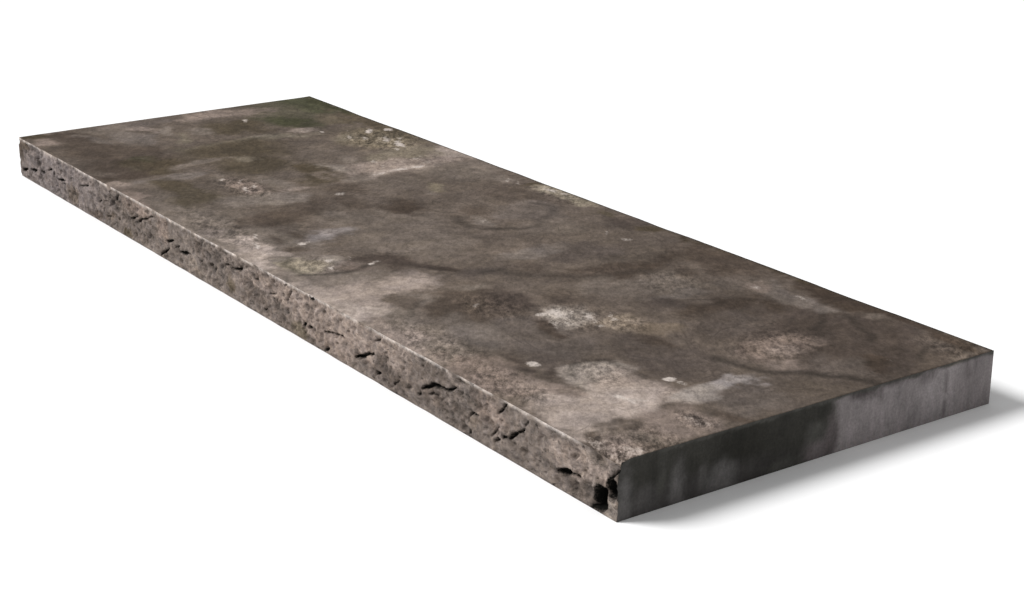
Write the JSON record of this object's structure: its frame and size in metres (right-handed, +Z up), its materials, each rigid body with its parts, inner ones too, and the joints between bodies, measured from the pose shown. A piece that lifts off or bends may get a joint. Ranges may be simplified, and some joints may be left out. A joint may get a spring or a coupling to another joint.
{
  "type": "limestone coping stone",
  "caption": "Long flat stone slab that caps a wall, with a riven top, a rock-pitched front edge and sawn ends, back and underside.",
  "frame": {"origin": "centre of the sawn underside, on the surface that the stone is laid on", "axes": "+X along the slab towards the end with the broken front corner, +Y from the rock-pitched front to the sawn back, +Z up through the thickness"},
  "size_m": [1.219, 0.42, 0.05],
  "materials": {
    "limestone": "riven brown-grey top, paler rock-pitched front, smooth sawn ends, back and underside"
  },
  "bodies": {
    "root": {"coping_stone": "limestone"}
  },
  "joints": []
}
